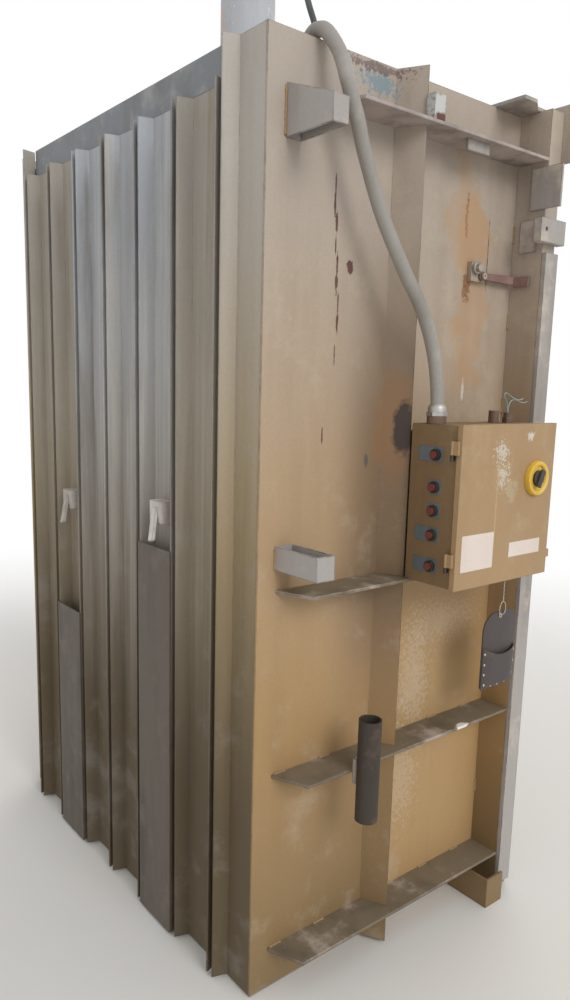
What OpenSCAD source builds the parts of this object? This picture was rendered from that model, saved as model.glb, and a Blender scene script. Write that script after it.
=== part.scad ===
/* [Body] */
// Width across the flat of the two side skins
body_w = 1440; // [1380:10:1600]
// Depth of the side skin, from the back wall to the front posts
side_d = 930; // [880:10:1000]
// Height of the body's walls
body_h = 2400; // [2380:10:2440]
// Thickness of the side skin
skin_t = 5; // [4:1:6]
// Thickness of the flat liner plate inside each side
liner_t = 6; // [4:1:8]
// Height of the walls' lower edges above the ground
wall_gap = 10; // [5:1:20]

/* [Side fold] */
// Distance from the back wall to the start of the pressed fold
fold_start = 405; // [380:5:430]
// Distance from the back wall to the crest of the fold
fold_crest = 445; // [440:5:460]
// Distance from the back wall to the end of the fold
fold_end = 490; // [480:5:520]
// How far the crest stands out from the side skin
fold_out = 71; // [50:1:85]

/* [Back wall] */
// Number of tie slots
slots = 7; // [5:2:7]
// Distance between two tie slots
slot_pitch = 197; // [190:1:205]
// Width of a tie slot
slot_w = 20; // [16:1:26]
// Thickness of the formed back pans
pan_t = 5; // [4:1:6]
// How far the legs of the pans stand out
crest_out = 40; // [30:1:50]
// Sideways run of a pan's leg
leg_run = 14; // [10:1:20]
// Height of the band above the middle pans
band_h = 85; // [75:5:120]
// Thickness of the chain guards
guard_t = 4; // [3:1:6]
// Height of the tall chain guard
guard_tall = 1165; // [1000:5:1200]
// Height of the short chain guard
guard_short = 845; // [700:5:1000]

/* [Side ribs] */
// How far the ribs and the posts stand out from the side skin
rib_out = 100; // [92:1:110]
// Thickness of a rib
rib_t = 8; // [6:1:10]
// Height of the lowest rib
rib_z1 = 118; // [100:1:200]
// Height of the second rib
rib_z2 = 618; // [560:1:700]
// Height of the rib under the control box
rib_z3 = 1109; // [1060:1:1130]
// Depth of the top rib's underside below the walls' top
rib_drop = 138; // [125:1:160]
// Where the lower ribs start, from the back wall
rib_b = 58; // [50:1:80]
// Where the top rib starts, from the back wall
rib_top_b = 160; // [155:1:180]
// How much further forward a rib starts at its outer edge
rib_slant = 42; // [30:1:50]

/* [Front] */
// Depth of the front posts
post_d = 60; // [50:1:80]
// How far a post reaches inwards from the side skin
post_in = 60; // [50:1:70]
// Wall of the posts and the other square tubes
tube_t = 6; // [4:1:8]
// Height of the sill between the bale door and the feed opening
sill_z = 1300; // [1260:10:1340]
// Height of that sill's tube
sill_h = 60; // [50:1:80]
// Height of the lower edge of the front header
header_z = 1950; // [1900:10:2000]
// Thickness of the door, header and gate sheets
sheet_t = 6; // [4:1:8]

/* [Base and floor] */
// Height of the base frame
base_h = 120; // [100:5:140]
// Width of the base frame's cross tubes
cross_w = 100; // [80:5:120]
// Thickness of the floor plate
floor_t = 10; // [8:1:14]
// Height of the floor strips
strip_h = 25; // [20:1:30]
// Width of the wire groove between two strips
groove_w = 28; // [24:1:32]

/* [Bale door] */
// Gap between the closed door and the posts
door_gap = 5; // [4:1:8]
// Depth of the door's square tubes
door_d = 50; // [40:5:60]
// Width of the door's upright tubes
stile_w = 50; // [40:5:60]
// Height of the door's lower edge
door_z = 165; // [160:5:180]
// How far the door laps over each post
door_lap = 20; // [15:1:30]
// Radius of the hinge barrels
hinge_r = 22; // [20:1:24]
// Radius of the hinge pins
hinge_pin_r = 12; // [10:1:14]
// Length of one hinge barrel
hinge_len = 60; // [50:5:80]
// Running clearance of pins in their bores
run_clear = 0.08; // [0.05:0.01:0.1]

/* [Ram] */
// Outside radius of the cylinder barrel
barrel_r = 86; // [82:1:95]
// Bore radius of the cylinder barrel
bore_r = 76; // [70:1:78]
// Radius of the ram's rod
rod_r = 45; // [38:1:50]
// Length of the cylinder barrel
barrel_len = 1440; // [1400:10:1500]
// Distance from the resting piston's lower face to the top of the barrel
piston_gap = 110; // [100:5:140]
// Depth of the resting platen's lower face below the deck
platen_drop = 355; // [345:5:380]
// Gap between the platen and the liners
platen_gap = 14; // [10:1:20]

/* [Control box] */
// Width of the box
box_w = 397; // [380:1:400]
// Height of the box
box_h = 414; // [390:1:430]
// Depth of the box without its door
box_d = 157; // [145:1:160]
// Distance of the box's back corner from the back wall
box_b = 434; // [430:1:440]
// How far the box's back stands out from the side skin
box_out = 85; // [82:1:90]
// Sheet of the box
box_t = 2; // [1.5:0.5:3]
// Radius of the push buttons
button_r = 10; // [9:0.5:12]
// Radius of the yellow switch ring
ring_r = 47; // [40:1:50]

/* [Fittings] */
// Radius of the tool pipe
pipe_r = 30.15; // [28:0.05:32]
// Wall of the tool pipe
pipe_t = 4; // [3:0.5:5]
// Length of the tool pipe
pipe_len = 279; // [250:1:300]
// Height of the pipe's lower end
pipe_z = 496; // [480:1:510]
// Radius of the conduit
conduit_r = 17; // [14:0.5:18]
// Radius of the hydraulic hose
hose_r = 8; // [6:0.5:9]
// Length of the swing lever from its bolt
lever_len = 151; // [120:1:151]
// Length of the lever's bent finger tab
tab_len = 49; // [30:1:60]

/* [Hidden] */

tan = [0.62, 0.52, 0.38];
grey = [0.52, 0.50, 0.46];
rust = [0.40, 0.24, 0.18];
steel = [0.66, 0.66, 0.66];
dark = [0.12, 0.12, 0.12];

// Plan of the body: x across, y towards the back, z up
xs = body_w / 2;
xi = xs - skin_t;
xl = xi - liner_t;
yb = (side_d + 60) / 2;
yi = yb - pan_t;
yp = yb - side_d;
yf = yp - post_d;
xo = xs + rib_out;
xp = xs - post_in;
cyl_y = (yi + yp) / 2;
first_slot = -slot_pitch * (slots - 1) / 2;
floor_z = base_h + floor_t;
strip_z = floor_z + strip_h;
pan_top = body_h - band_h;
rib_z4 = body_h - rib_drop;
deck_z = pan_top + 15;
deck_t = 15;
deck_top = deck_z + deck_t;

function slot_x(k) = first_slot + k * slot_pitch;
function unit(v) = v / norm(v);
function left_of(d) = [-d[1], d[0]];
function seg(p, i) = unit(p[i + 1] - p[i]);
function joined(p, i) =
    let (a = left_of(seg(p, max(i - 1, 0))), b = left_of(seg(p, min(i, len(p) - 2))))
    unit(a + b) / (unit(a + b) * b);
// Outline of a folded sheet: a line of points and its offset to the left
function sheet(p, t) = concat(p, [for (i = [len(p) - 1 : -1 : 0]) p[i] + joined(p, i) * t]);
// Outside of the side skin at a distance b from the back wall
function skin_out(b) =
    b < fold_start ? 0 :
    b < fold_crest ? fold_out * (b - fold_start) / (fold_crest - fold_start) :
    b < fold_end ? fold_out * (fold_end - b) / (fold_end - fold_crest) : 0;

// Points along a route, smoothed between the given points
function curve(p, i, t) =
    let (a = p[max(i - 1, 0)], b = p[i], c = p[i + 1], d = p[min(i + 2, len(p) - 1)])
    0.5 * ((2 * b) + (c - a) * t + (2 * a - 5 * b + 4 * c - d) * t * t
        + (3 * b - a - 3 * c + d) * t * t * t);
function route(p, n) = concat(
    [for (i = [0 : len(p) - 2]) for (j = [0 : n - 1]) curve(p, i, j / n)], [p[len(p) - 1]]);
function heading(p, i) = unit(p[min(i + 1, len(p) - 1)] - p[max(i - 1, 0)]);
module tube_along(p, r, sides) {
    rings = [for (i = [0 : len(p) - 1])
        let (t = heading(p, i), u = unit(cross(t, [0.2, 1, 0])), v = cross(t, u))
        for (s = [0 : sides - 1]) p[i] + r * (cos(360 * s / sides) * u + sin(360 * s / sides) * v)];
    m = len(p);
    walls = [for (i = [0 : m - 2]) for (s = [0 : sides - 1])
        [i * sides + s, (i + 1) * sides + s, (i + 1) * sides + (s + 1) % sides, i * sides + (s + 1) % sides]];
    ends = [[for (s = [0 : sides - 1]) s], [for (s = [sides - 1 : -1 : 0]) (m - 1) * sides + s]];
    polyhedron(points = rings, faces = concat(walls, ends), convexity = 4);
}

module block(a, b) { translate(a) cube(b - a); }
module both_sides() { children(); mirror([1, 0, 0]) children(); }
// A square tube lying along x, from x0 to x1
module tube_x(x0, x1, y0, y1, z0, z1, t) {
    difference() {
        block([x0, y0, z0], [x1, y1, z1]);
        block([x0 - 1, y0 + t, z0 + t], [x1 + 1, y1 - t, z1 - t]);
    }
}
module rod_x(x0, x1, r) { translate([x0, 0, 0]) rotate([0, 90, 0]) cylinder(h = x1 - x0, r = r, $fn = 48); }
module rod_y(y0, y1, r) { translate([0, y1, 0]) rotate([90, 0, 0]) cylinder(h = y1 - y0, r = r, $fn = 48); }

// Base and floor
module base_frame() color(grey) {
    both_sides() difference() {
        block([xi - 75, yp, 0], [xi, yi, base_h]);
        block([xi - 76, yp - 1, tube_t], [xi - tube_t, yi + 1, base_h - tube_t]);
    }
    tube_x(-xi + 75, xi - 75, yp, yp + cross_w, 0, base_h, tube_t);
    tube_x(-xi + 75, xi - 75, -cross_w / 2, cross_w / 2, 0, base_h, tube_t);
    tube_x(-xi + 75, xi - 75, yi - cross_w, yi, 0, base_h, tube_t);
}
module floor_plate() color(grey) block([-xi, yp, base_h], [xi, yi, floor_z]);
// Strips between the wire grooves, from one side liner to the other
module strips(x_end, y0, y1, z0, z1) {
    for (k = [0 : slots - 2])
        block([slot_x(k) + groove_w / 2, y0, z0], [slot_x(k + 1) - groove_w / 2, y1, z1]);
    both_sides() block([-x_end, y0, z0], [slot_x(0) - groove_w / 2, y1, z1]);
}
module floor_strips() color(grey) strips(xl - 4, yp + 5, yi - 5, floor_z, strip_z);

// Back wall
module pan(x0, x1, z1) {
    translate([0, 0, wall_gap]) linear_extrude(z1 - wall_gap) polygon(sheet([
        [x0, yb + crest_out], [x0 + leg_run, yi], [x1 - leg_run, yi], [x1, yb + crest_out]], pan_t));
}
module back_pans() color(grey) {
    for (k = [0 : slots - 2]) pan(slot_x(k) + slot_w / 2, slot_x(k + 1) - slot_w / 2, pan_top);
    both_sides() translate([0, 0, wall_gap]) linear_extrude(body_h - wall_gap) polygon(sheet([
        [-xi, yi], [slot_x(0) - slot_w / 2 - leg_run, yi], [slot_x(0) - slot_w / 2, yb + crest_out]], pan_t));
}
module back_band() color(tan)
    block([slot_x(0) - slot_w / 2 + 5, yi, pan_top], [slot_x(slots - 1) + slot_w / 2 - 5, yb, body_h]);
guard_y = yb + crest_out + pan_t * leg_run / norm([leg_run, crest_out + pan_t]);
module chain_guards() color(grey) {
    block([slot_x(1) + slot_w / 2, guard_y, wall_gap], [slot_x(2) - slot_w / 2, guard_y + guard_t, guard_tall]);
    block([slot_x(slots - 3) + slot_w / 2, guard_y, wall_gap], [slot_x(slots - 2) - slot_w / 2, guard_y + guard_t, guard_short]);
}
module chain_hook(x, z) {
    translate([x, yb, z]) {
        block([-34, 0, 0], [34, crest_out + 4, 60]);
        translate([0, crest_out + 4, 20]) rotate([20, 0, 0]) rotate([0, 20, 0])
            block([-10, 0, -75], [10, 10, 20]);
    }
}
module chain_hooks() color(grey) {
    chain_hook((slot_x(1) + slot_x(2)) / 2 - 12, guard_tall + 70);
    chain_hook((slot_x(slots - 3) + slot_x(slots - 2)) / 2 - 8, guard_tall + 30);
}

// Side walls, drawn for the left and mirrored for the right
function side_line() = [[-xs, yb], [-xs, yb - fold_start], [-xs - fold_out, yb - fold_crest],
    [-xs, yb - fold_end], [-xs, yp]];
module side_skin() {
    translate([0, 0, wall_gap]) linear_extrude(body_h - wall_gap) polygon(sheet(side_line(), skin_t));
}
module side_skin_left() color(tan) side_skin();
module side_skin_right() color(tan) mirror([1, 0, 0]) side_skin();
module side_liners() color(grey)
    both_sides() block([-xi, yp, floor_z], [-xl, yi, deck_z]);
// A horizontal plate from b0 behind to b1 in front, following the skin
module rib(z, b0, b1, slant) {
    translate([0, 0, z]) linear_extrude(rib_t) polygon([
        [-xs - skin_out(b0), yb - b0], [-xo, yb - b0 - slant], [-xo, yb - b1],
        [-xs - skin_out(b1), yb - b1],
        for (b = [fold_end, fold_crest, fold_start]) if (b > b0 && b < b1) [-xs - skin_out(b), yb - b]]);
}
// Two short ribs behind the control box carry its back
module box_rib(z) block([-xs - box_out, yb - box_b - box_w + 20, z], [-xs, yb - fold_end - 5, z + rib_t]);
module side_ribs() color(tan) {
    both_sides() {
        rib(rib_z1, rib_b, side_d, rib_slant);
        rib(rib_z2, rib_b, side_d, rib_slant);
        rib(rib_z3, rib_b, side_d, rib_slant);
        rib(rib_z4, rib_top_b, side_d, rib_slant + 3);
    }
    box_rib(rib_z3 + 190);
    box_rib(rib_z3 + 390);
}

// Front frame
module front_posts() color(tan) both_sides() difference() {
    block([-xo, yf, 0], [-xp, yp, body_h]);
    block([-xo + tube_t, yf + tube_t, -1], [-xp - tube_t, yp - tube_t, body_h - tube_t]);
}
module front_sills() color(tan) {
    tube_x(-xp, xp, yf, yp, 0, base_h, tube_t);
    tube_x(-xp, xp, yf, yp, sill_z, sill_z + sill_h, tube_t);
}
module front_header() color(tan) {
    difference() {
        block([-xp, yf, header_z], [xp, yp, body_h]);
        block([-xp - 1, yf + sheet_t, header_z + sheet_t], [xp + 1, yp + 1, body_h - sheet_t]);
    }
    // Ears that stand out past the posts at the top
    both_sides() block([-xo - 40, yf - sheet_t, rib_z4], [-xs - 25, yf, body_h + 20]);
}
foot_out = 150;
foot_t = 8;
foot_h = 95;
foot_y1 = yp + 110;
module front_feet() color(tan) both_sides() {
    block([-xs - foot_out, yp + 30, 0], [-xs - foot_out + foot_t, foot_y1, foot_h]);
    block([-xs - foot_out + foot_t, foot_y1 - foot_t, 0], [-xs, foot_y1, foot_h]);
}

// Small plates welded to the left side and to the posts
module side_tabs() color(tan) {
    // Face strip, hole block and back plate of the left post
    block([-xo - 14, yf, 20], [-xo, yp, rib_z4 - 250]);
    difference() {
        block([-xo - 25, yf - 10, rib_z4 - 226], [-xo, yp + 50, rib_z4 - 160]);
        translate([0, yp + 22, rib_z4 - 190]) rod_x(-xo - 26, -xo + 1, 6);
    }
    block([-xo - 50, yp, rib_z4 - 130], [-xo + 47, yp + 8, rib_z4 - 16]);
    block([-xo + 20, yp, rib_z4 - 245], [-xo + 74, yp + 8, rib_z4 - 155]);
    // Corner plates on top of the walls and posts
    both_sides() translate([0, 0, body_h]) linear_extrude(10) polygon([[-xp, yp + 122], [-xs - 93, yp + 122],
        [-xs - 93, yp + 65], [-xs - 62, yp + 15], [-xs - 62, yp - 45], [-xp, yp - 45]]);
    // Cleat above the top rib and tab below it
    block([-xo, yb - fold_crest - 33, rib_z4 + rib_t], [-xo + 28, yb - fold_crest + 7, rib_z4 + rib_t + 60]);
    block([-xs - 78, yb - fold_end - 200, rib_z4 - 28], [-xs - 70, yb - fold_end - 110, rib_z4]);
    // Lug that carries the tool pipe on the second rib
    difference() {
        block([-xo - 14, pipe_y - 18, rib_z2 - 30], [-xo, pipe_y + 18, rib_z2 + 40]);
        translate([pipe_x, pipe_y, rib_z2 - 31]) cylinder(h = 72, r = pipe_r, $fn = 64);
    }
}
pipe_x = -xs - 140;
pipe_y = yb - 270;
module pipe_holder() color(rust) translate([pipe_x, pipe_y, pipe_z]) difference() {
    cylinder(h = pipe_len, r = pipe_r, $fn = 64);
    translate([0, 0, -1]) cylinder(h = pipe_len + 2, r = pipe_r - pipe_t, $fn = 64);
}
stub_len = 157;
stub_w = 46;
stub_low = rib_z4 - 92;
stub_tip = rib_z4 - 34;
stub_top = rib_z4 + 25;
stub_z = rib_z3 + 61;
stub_b = 54;
module side_stubs() color(tan) {
    // Upper lug: a tapered box, open below
    difference() {
        translate([0, yb - stub_b - 2, 0]) rotate([90, 0, 0]) linear_extrude(stub_w)
            polygon([[-xs, stub_low], [-xs, stub_top], [-xs - stub_len, stub_tip], [-xs - stub_len, stub_low]]);
        translate([0, yb - stub_b - 7, 0]) rotate([90, 0, 0]) linear_extrude(stub_w - 10)
            polygon([[-xs - 6, stub_low - 1], [-xs - 6, stub_top - 9], [-xs - stub_len + 5, stub_tip - 7],
                [-xs - stub_len + 5, stub_low - 1]]);
    }
    // Lower lug: a straight box, open along its top
    difference() {
        block([-xs - stub_len, yb - stub_b - 55, stub_z], [-xs, yb - stub_b + 2, stub_z + 60]);
        block([-xs - stub_len + 5, yb - stub_b - 50, stub_z + 5], [-xs - 5, yb - stub_b - 3, stub_z + 61]);
    }
}

// Deck and beams under it
module top_deck() color(grey) difference() {
    block([-xi, yp, deck_z], [xi, yi, deck_top]);
    translate([0, cyl_y, deck_z - 1]) cylinder(h = deck_t + 2, r = rod_r + 15, $fn = 96);
}
module deck_beams() color(grey)
    for (s = [-1, 1]) tube_x(-xl, xl, cyl_y + s * 130 - 35, cyl_y + s * 130 + 35, deck_z - 80, deck_z, tube_t);

// Ram
head_t = 40;
module cylinder_head() color(grey) translate([0, cyl_y, deck_top]) difference() {
    block([-150, -150, 0], [150, 150, head_t]);
    translate([0, 0, -1]) cylinder(h = head_t + 2, r = rod_r + run_clear, $fn = 96);
    for (x = [-115, 115], y = [-115, 115]) translate([x, y, -1]) cylinder(h = head_t + 2, r = 11, $fn = 32);
}
module cylinder_bolts() color(steel) for (x = [-115, 115], y = [-115, 115])
    translate([x, cyl_y + y, deck_top + head_t]) {
        cylinder(h = 16, r = 17, $fn = 6);
        translate([0, 0, -head_t]) cylinder(h = head_t + 1, r = 10, $fn = 32);
    }
barrel_z = deck_top + head_t;
piston_up = barrel_len - piston_gap;
module cylinder_barrel() color([0.72, 0.55, 0.50]) translate([0, cyl_y, barrel_z]) difference() {
    union() {
        cylinder(h = barrel_len, r = barrel_r, $fn = 96);
        translate([-barrel_r - 18, 0, 45]) rod_x(0, 30, 20);
    }
    translate([0, 0, -1]) cylinder(h = barrel_len + 2, r = bore_r, $fn = 96);
}
cap_z = barrel_z + barrel_len;
module cylinder_cap() color(grey) translate([0, cyl_y, cap_z]) {
    cylinder(h = 45, r = barrel_r + 12, $fn = 96);
    translate([-barrel_r - 30, 0, 22]) rod_x(0, 30, 17);
}
rod_top = barrel_z + piston_up;
platen_z = deck_z - platen_drop;
platen_top = platen_z + 125;
module ram_rod() color(steel) translate([0, cyl_y, platen_top]) cylinder(h = rod_top - platen_top, r = rod_r, $fn = 96);
module ram_piston() color(steel) translate([0, cyl_y, rod_top]) cylinder(h = 60, r = bore_r - run_clear, $fn = 96);
xq = xl - platen_gap;
yq0 = yp + 10;
yq1 = yi - 15;
module platen() color(grey) {
    strips(xq, yq0, yq1, platen_z, platen_z + strip_h);
    block([-xq, yq0, platen_z + strip_h], [xq, yq1, platen_z + strip_h + 15]);
    for (x = [-xq + 60, -230, 230, xq - 60])
        block([x - 30, yq0, platen_z + strip_h + 15], [x + 30, yq1, platen_top - 15]);
    block([-260, cyl_y - 90, platen_top - 15], [260, cyl_y + 90, platen_top]);
}

// Power unit
tank_w = 380;
tank_d = 480;
tank_h = 290;
lid_t = 8;
lid_lap = 10;
tank_x0 = xp - tank_w - 10;
tank_y0 = yp + 20;
tank_top = deck_top + tank_h + lid_t;
module oil_tank() color(grey) translate([tank_x0, tank_y0, deck_top]) {
    cube([tank_w, tank_d, tank_h]);
    translate([-lid_lap, -lid_lap, tank_h]) cube([tank_w + 2 * lid_lap, tank_d + 2 * lid_lap, lid_t]);
    translate([60, tank_d - 50, tank_h + lid_t]) cylinder(h = 40, r = 30, $fn = 48);
}
motor_r = 90;
motor_z = motor_r + 25;
motor_gap = 200;
// The motor lies along the front of the deck, and its pump goes into the tank
module pump_motor() color([0.35, 0.37, 0.40]) translate([tank_x0 - motor_gap, yp + motor_r + 35, deck_top]) {
    translate([0, 0, motor_z]) {
        rod_x(-150, 90, motor_r);
        rod_x(90, 130, motor_r - 6);
        rod_x(130, motor_gap, motor_r - 30);
    }
    for (x = [-120, 50]) block([x, -motor_r - 5, 0], [x + 30, motor_r + 5, 40]);
    block([-70, -40, motor_z + motor_r - 10], [10, 40, motor_z + motor_r + 30]);
}
valve_x = -xs + 175;
valve_y = yi - 293;
module valve_block() color(steel) {
    block([valve_x - 45, valve_y - 45, deck_top], [valve_x + 45, valve_y + 45, deck_top + 70]);
    block([valve_x + 45, valve_y - 15, deck_top + 20], [valve_x + 115, valve_y + 15, deck_top + 50]);
    translate([-xs + 80, yi - 160, deck_top]) cylinder(h = 25, r = conduit_r + 8, $fn = 48);
}
// Route of the hose from the valve block to the cap of the cylinder
hose_route = [[-545, 197, 2415], [-545, 197, 2423], [-545, 197, 2431], [-542, 197, 2470], [-534, 197, 2510],
    [-520, 197, 2545], [-495, 197, 2600], [-455, 190, 2700], [-390, 165, 2880], [-310, 130, 3130],
    [-245, 95, 3380], [-205, 65, 3600], [-182, 42, 3760], [-163, 31, 3825], [-146, 27.5, 3845],
    [-130, 27.5, 3847], [-123, 27.5, 3847], [-116, 27.5, 3847]];
module cap_hose() color(dark) tube_along(route(hose_route, 3), hose_r, 8);

// Control box, outside the left wall
bx0 = -xs - box_out - box_d;
bx1 = -xs - box_out;
by1 = yb - box_b;
by0 = by1 - box_w;
bz0 = rib_z3 + rib_t;
bz1 = bz0 + box_h;
button_x = -xs - 170;
button_zs = [bz0 + 338, bz0 + 255, bz0 + 194, bz0 + 131, bz0 + 49];
stem_r = 6;
module box_body() color(tan) difference() {
    block([bx0, by0, bz0], [bx1, by1, bz1]);
    block([bx0 - 1, by0 + box_t, bz0 + box_t], [bx1 - box_t, by1 - box_t, bz1 - box_t]);
    for (z = button_zs) translate([button_x, 0, z]) rod_y(by1 - box_t - 1, by1 + 1, stem_r + 0.5);
}
// Each hinge has a fixed pin with a leaf on the box
hx = bx0 + 14;
hy = by1 + 11;
door_clear = 1.5;
hinge_zs = [bz0 + 43, bz0 + 327];
module box_hinges() color(steel) for (z = hinge_zs) {
    translate([hx, hy, z]) cylinder(h = 50, r = 2, $fn = 32);
    translate([hx, hy, z]) cylinder(h = 14, r = 4.5, $fn = 32);
    block([hx - 1.5, by1, z], [hx + 1.5, hy - 1, z + 14]);
}
dz0 = bz0 - door_clear - box_t;
dz1 = bz1 + door_clear + box_t;
dy0 = by0 - door_clear - box_t;
dy1 = by1 + door_clear + box_t;
dx0 = bx0 - 9;
module box_door() color(tan) {
    difference() {
        block([dx0, dy0, dz0], [bx0 + 6, dy1, dz1]);
        block([dx0 + box_t, dy0 + box_t, dz0 + box_t], [bx0 + 7, dy1 - box_t, dz1 - box_t]);
    }
    for (z = hinge_zs) {
        difference() {
            union() {
                translate([hx, hy, z + 14.5]) cylinder(h = 35, r = 4.5, $fn = 32);
                block([bx0 - 4, dy1 - 1, z + 14.5], [bx0 + 2, hy + 1, z + 49.5]);
                block([bx0 - 4, hy - 1, z + 14.5], [hx - 1, hy + 1, z + 49.5]);
            }
            translate([hx, hy, z]) cylinder(h = 60, r = 2 + run_clear, $fn = 32);
        }
    }
    // Clasp on the free edge
    block([dx0 + 2, dy0 - 14, bz0 + 40], [bx0 + 4, dy0, bz0 + 62]);
}
module door_labels() color("white") {
    block([dx0 - 1, by1 - 149, bz0 + 43], [dx0, by1 - 18, bz0 + 138]);
    block([dx0 - 1, by0 + 37, bz0 + 61], [dx0, by0 + 178, bz0 + 101]);
}
ring_y = by0 + 81;
ring_z = bz0 + 270;
ring_t = 15;
module disconnect_ring() color("gold") translate([0, ring_y, ring_z]) difference() {
    rod_x(dx0 - ring_t, dx0, ring_r);
    rod_x(dx0 - ring_t - 1, dx0 - ring_t + 7, ring_r - 14);
    rod_x(dx0 - ring_t, dx0 + 1, 6 + run_clear);
}
module disconnect_handle() color(dark) translate([0, ring_y, ring_z]) {
    rod_x(dx0 - ring_t + 6, dx0 - 1, 6);
    rod_x(dx0 - ring_t - 1, dx0 - ring_t + 6.7, 22);
    translate([dx0 - ring_t - 9, 0, 0]) rotate([25, 0, 0]) block([0, -9, -25], [9, 9, 25]);
}
module button_bezels() color(dark) for (z = button_zs) translate([button_x, 0, z]) difference() {
    rod_y(by1 + 1, by1 + 9, button_r + 5);
    rod_y(by1 + 3, by1 + 10, button_r + 1);
    rod_y(by1, by1 + 10, stem_r + 0.5);
}
module legend_plates() color([0.45, 0.50, 0.55]) for (i = [0 : 4]) difference() {
    block([button_x - 20, by1, button_zs[i] - 18], [button_x + (i == 1 || i == 2 ? 20 : 58), by1 + 1, button_zs[i] + 20]);
    translate([button_x, 0, button_zs[i]]) rod_y(by1 - 1, by1 + 2, stem_r + 0.5);
}
module button(i) color([0.42, 0.16, 0.14]) translate([button_x, 0, button_zs[i]]) {
    rod_y(by1 + 8, by1 + 16, button_r);
    rod_y(by1 - 14, by1 + 9, stem_r);
    rod_y(by1 - 18, by1 - 14, stem_r + 3);
}
module button_1() button(0);
module button_2() button(1);
module button_3() button(2);
module button_4() button(3);
module button_5() button(4);

// Conduit from the top of the box over the wall into the deck
conduit_route = [[-860, 33, 1551], [-860, 33, 1560], [-860, 33, 1570], [-860, 36, 1605], [-860, 42, 1644],
    [-858, 50, 1688], [-855, 62, 1731], [-851, 78, 1774], [-846, 98, 1816], [-840, 118, 1852], [-835, 136, 1878],
    [-827, 166, 1929], [-818, 193, 1980], [-813, 220, 2029], [-811, 244, 2077], [-810, 266, 2124], [-809, 286, 2170],
    [-808, 301, 2216], [-806, 312, 2243], [-804, 324, 2273], [-799, 331, 2300], [-790, 336, 2333], [-777, 339, 2362],
    [-754, 341, 2394], [-735, 343, 2414], [-718, 344, 2421], [-695, 342, 2424], [-668, 336, 2415], [-648, 331, 2398],
    [-640, 330, 2386], [-640, 330, 2378], [-640, 330, 2370]];
module conduit() color([0.45, 0.46, 0.46]) tube_along(route(conduit_route, 2), conduit_r, 12);
gland_h = 20;
hook_x = -xs - 160;
hook_y = by0 + 51;
hook_z = bz0 - 18;
module box_fittings() color(grey) {
    translate([bx1 - 55, by1 - 28, bz1]) cylinder(h = gland_h, r = conduit_r + 8, $fn = 48);
    translate([bx1 - 52, by0 + 126, bz1]) cylinder(h = 33, r = 14, $fn = 48);
    translate([bx1 - 65, ring_y, bz1]) {
        cylinder(h = 14, r = 15, $fn = 6);
        cylinder(h = 28, r = 11, $fn = 48);
    }
    // Hook below the box
    translate([hook_x + 12, hook_y, hook_z]) cylinder(h = bz0 - hook_z, r = 3, $fn = 32);
    translate([0, hook_y, hook_z]) rod_x(hook_x - 8, hook_x + 14, 3);
}

// Swing lever: a flat bar on a pin, its end bent out beside the post
lever_y = yp + 161;
lever_z = rib_z4 - 324;
plate_out = 14;
module lever_bracket() color(dark) {
    block([-xs - plate_out, lever_y - 16, lever_z - 16], [-xs, lever_y + 44, lever_z + 37]);
    translate([0, lever_y, lever_z]) {
        rod_x(-xs - plate_out - 16, -xs - plate_out + 1, 5);
        rod_x(-xs - plate_out - 16, -xs - plate_out - 8.5, 9);
    }
    translate([0, lever_y + 27, lever_z + 20]) {
        rod_x(-xs - plate_out - 8, -xs - plate_out, 14);
        translate([-xs - plate_out - 20, 0, 0]) rotate([0, 90, 0]) cylinder(h = 12, r = 11.5, $fn = 6);
    }
}
module swing_lever() color(rust) translate([-xs - plate_out - 8, lever_y, lever_z]) difference() {
    union() {
        rotate([90, 0, 90]) linear_extrude(7) polygon([[0, -9], [0, 9], [-lever_len, 14], [-lever_len, -11]]);
        rod_x(0, 7, 13);
        block([-tab_len, -lever_len, -18], [0, -lever_len + 6, 10]);
    }
    rod_x(-1, 8, 5 + run_clear);
}

// Leather sheath hanging from a wire
sheath_top = hook_z - 118;
module sheath_hanger() color(steel) {
    translate([hook_x, hook_y, hook_z]) difference() {
        union() {
            rod_x(-2, 2, 9);
            block([-2, -2, sheath_top - hook_z + 15], [2, 2, -4]);
        }
        rod_x(-3, 3, 3 + run_clear);
    }
    // The wire's end passes through the eyelet
    translate([hook_x, hook_y, sheath_top - 10]) {
        block([-2, -2, -2], [2, 2, 31]);
        rod_x(-2, sheath_d / 2 + 2.3, 2);
        rod_x(sheath_d / 2 + 0.3, sheath_d / 2 + 2.3, 5);
    }
}
sheath_d = 22;
module sheath_outline() polygon([[-75, -198], [-66, -216], [-49, -228], [68, -228], [75, -220], [75, -46], [67, -24],
    [44, -5], [30, 0], [-48, 0], [-66, -9], [-75, -30]]);
module sheath() color(dark) translate([hook_x, hook_y, sheath_top + 2]) difference() {
    translate([-sheath_d / 2, 0, 0]) rotate([90, 0, 90]) linear_extrude(sheath_d) sheath_outline();
    // Pocket, open at the front above the strap
    block([-sheath_d / 2 + 4, -58, -204], [sheath_d / 2 - 6, 58, -100]);
    block([-sheath_d / 2 - 1, -90, -101], [sheath_d / 2 - 6, 90, 1]);
    translate([0, 0, -12]) rod_x(-1, sheath_d, 2.5);
}

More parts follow.
